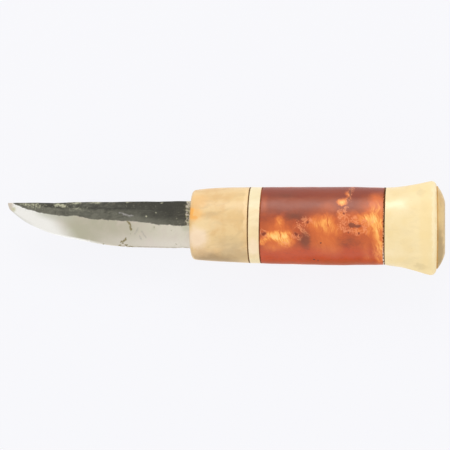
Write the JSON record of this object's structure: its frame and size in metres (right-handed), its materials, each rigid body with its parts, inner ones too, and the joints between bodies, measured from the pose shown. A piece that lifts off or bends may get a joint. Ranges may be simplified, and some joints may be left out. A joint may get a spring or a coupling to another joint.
{
  "type": "fixed-blade belt knife",
  "caption": "Small Nordic belt knife (puukko): a bevelled forged blade and a built-up oval handle of antler and dyed burl wood with a flared pommel and a bevelled butt plate.",
  "frame": {"origin": "middle of the footprint, on the surface that the knife lies on", "axes": "+X along the handle towards the butt (the blade points to -X), +Y towards the spine of the blade, +Z square to the blade's flat sides"},
  "size_m": [0.186, 0.0392, 0.0261],
  "materials": {
    "forged_steel": "satin",
    "antler": "satin",
    "brown_fibre": "matte",
    "dyed_burl": "gloss",
    "birch_bark": "matte",
    "cured_adhesive": "satin"
  },
  "bodies": {
    "root": {"blade": "forged_steel", "front_bolster": "antler", "front_liner": "brown_fibre", "pale_ring": "antler", "grip_liner": "brown_fibre", "burl_grip": "dyed_burl", "bark_liner": "birch_bark", "pommel": "antler", "butt_liner": "brown_fibre", "butt_plate": "antler", "tang_adhesive": "cured_adhesive"}
  },
  "joints": []
}
